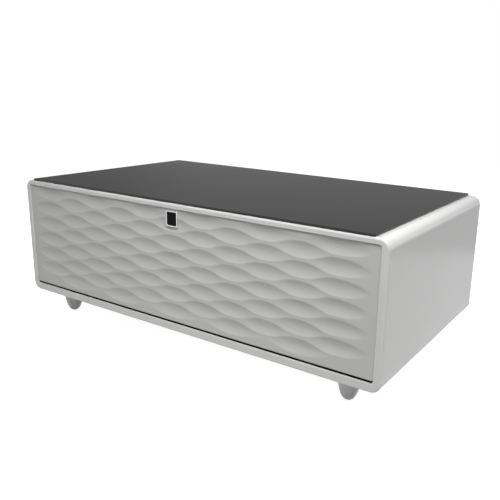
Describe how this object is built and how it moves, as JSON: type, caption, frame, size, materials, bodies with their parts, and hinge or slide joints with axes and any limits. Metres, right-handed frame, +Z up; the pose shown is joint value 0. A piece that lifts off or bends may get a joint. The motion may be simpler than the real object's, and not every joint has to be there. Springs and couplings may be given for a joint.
{
  "type": "refrigerator coffee table",
  "caption": "Low cabinet table on four feet with a black glass top, a wave relief front and a refrigerated drawer.",
  "frame": {"origin": "on the floor, under the middle of the cabinet", "axes": "+X along the front to the right of someone who faces it, +Y from the front to the back, +Z up"},
  "size_m": [1.3, 0.7, 0.46],
  "materials": {
    "shell_white": "gloss",
    "glass_black": "polished",
    "front_white": "gloss",
    "foot_grey": "gloss",
    "tape_black": "matte",
    "board_green": "satin",
    "glide_felt": "matte",
    "steel": "satin",
    "diffuser_smoke": "gloss",
    "badge_frame": "polished",
    "badge_black": "gloss",
    "liner_white": "satin",
    "gasket_grey": "matte",
    "foam": "matte",
    "aluminium": "satin",
    "lamp_clear": "satin",
    "divider_clear": "polished",
    "panel_grey": "satin",
    "black_plastic": "satin",
    "pot_black": "satin",
    "coil_black": "satin",
    "rubber_black": "matte",
    "copper": "satin"
  },
  "bodies": {
    "cabinet": {"cabinet_shell": "shell_white", "glass_top": "glass_black", "glass_tape": "tape_black", "touch_board": "board_green", "foot_plates": "steel", "light_bar": "diffuser_smoke", "light_bar_leds": "lamp_clear", "inner_liner": "liner_white", "insulation": "foam", "evaporator": "aluminium", "interior_lamp": "lamp_clear", "temperature_sensor": "liner_white", "machine_partition": "steel", "back_panel": "panel_grey", "cord_gland": "black_plastic", "compressor": "pot_black", "compressor_base": "steel", "compressor_grommets": "rubber_black", "compressor_bolts": "steel", "condenser_coil": "coil_black", "condenser_wires": "coil_black", "condenser_posts": "steel", "filter_drier": "copper", "discharge_line": "copper", "suction_line": "copper", "capillary_line": "copper", "fan_frame": "black_plastic", "board_standoffs": "steel", "control_board": "board_green", "power_supply": "steel", "runner_outer_left": "steel", "runner_outer_right": "steel", "foot_front_left": "foot_grey", "foot_front_right": "foot_grey", "foot_back_left": "foot_grey", "foot_back_right": "foot_grey", "foot_glide_front_left": "glide_felt", "foot_glide_front_right": "glide_felt", "foot_glide_back_left": "glide_felt", "foot_glide_back_right": "glide_felt"},
    "drawer": {"drawer_front": "front_white", "badge_frame": "badge_frame", "badge_plate": "badge_black", "drawer_inner_panel": "liner_white", "drawer_gasket": "gasket_grey", "food_tub": "liner_white", "tub_divider_left": "divider_clear", "tub_divider_right": "divider_clear", "side_bracket_left": "steel", "side_bracket_right": "steel", "runner_inner_left": "steel", "runner_inner_right": "steel"},
    "runner_middle_left": {"runner_middle_left": "steel"},
    "runner_middle_right": {"runner_middle_right": "steel"},
    "condenser_fan": {"fan_rotor": "black_plastic"}
  },
  "joints": [
    {"name": "drawer_slide", "type": "slide", "parent": "cabinet", "child": "drawer", "axis": [0, -1, 0], "range_m": [0, 0.38]},
    {"name": "runner_middle_slide_left", "type": "slide", "parent": "cabinet", "child": "runner_middle_left", "axis": [0, -1, 0], "range_m": [0, 0.19]},
    {"name": "runner_middle_slide_right", "type": "slide", "parent": "cabinet", "child": "runner_middle_right", "axis": [0, -1, 0], "range_m": [0, 0.19]},
    {"name": "fan_spin", "type": "hinge", "parent": "cabinet", "child": "condenser_fan", "pos_m": [0.2641, 0.264, 0.1605], "axis": [1, 0, 0], "continuous": true}
  ],
  "couplings": [
    {"joint": "runner_middle_slide_left", "follows": "drawer_slide", "ratio": 0.5},
    {"joint": "runner_middle_slide_right", "follows": "drawer_slide", "ratio": 0.5}
  ]
}
